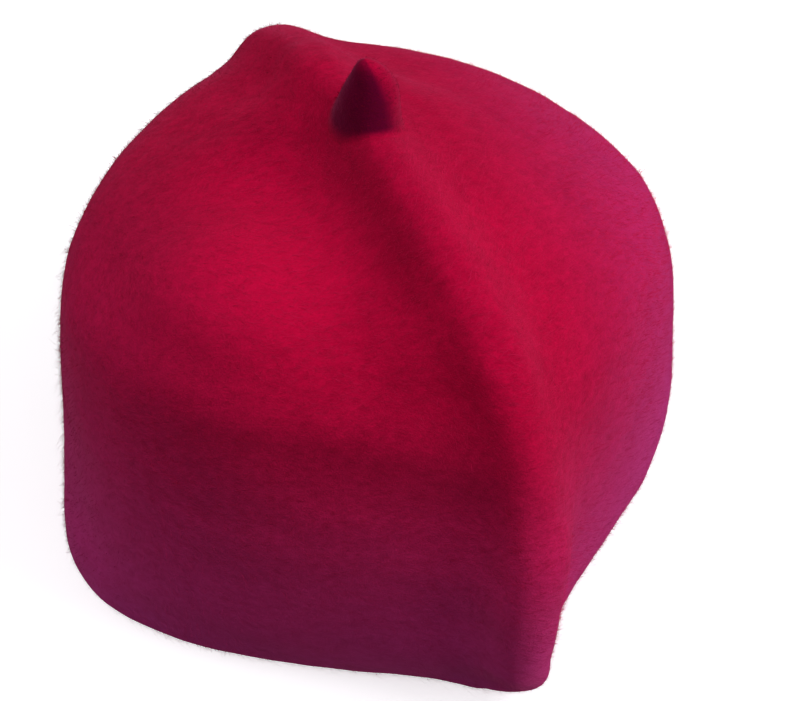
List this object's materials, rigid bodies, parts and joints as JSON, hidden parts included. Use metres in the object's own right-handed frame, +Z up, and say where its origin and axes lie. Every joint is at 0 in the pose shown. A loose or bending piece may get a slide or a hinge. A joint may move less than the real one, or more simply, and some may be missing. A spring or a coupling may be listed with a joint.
{
  "type": "felt cap",
  "caption": "Tall seamless felt cap with two bulging sides that meet in a raised fold over the crown, and a small felt stalk on top.",
  "frame": {"origin": "middle of the hat's box, at the height of its hem", "axes": "+Z up out of the crown, -Y towards the front end of the fold, +X to the right-hand panel as seen from the front"},
  "size_m": [0.2006, 0.2162, 0.1619],
  "materials": {
    "crimson_felt": "thick wet-felted wool, matt and slightly fuzzy, deep crimson"
  },
  "bodies": {
    "root": {"felt_cap": "crimson_felt"}
  },
  "joints": []
}
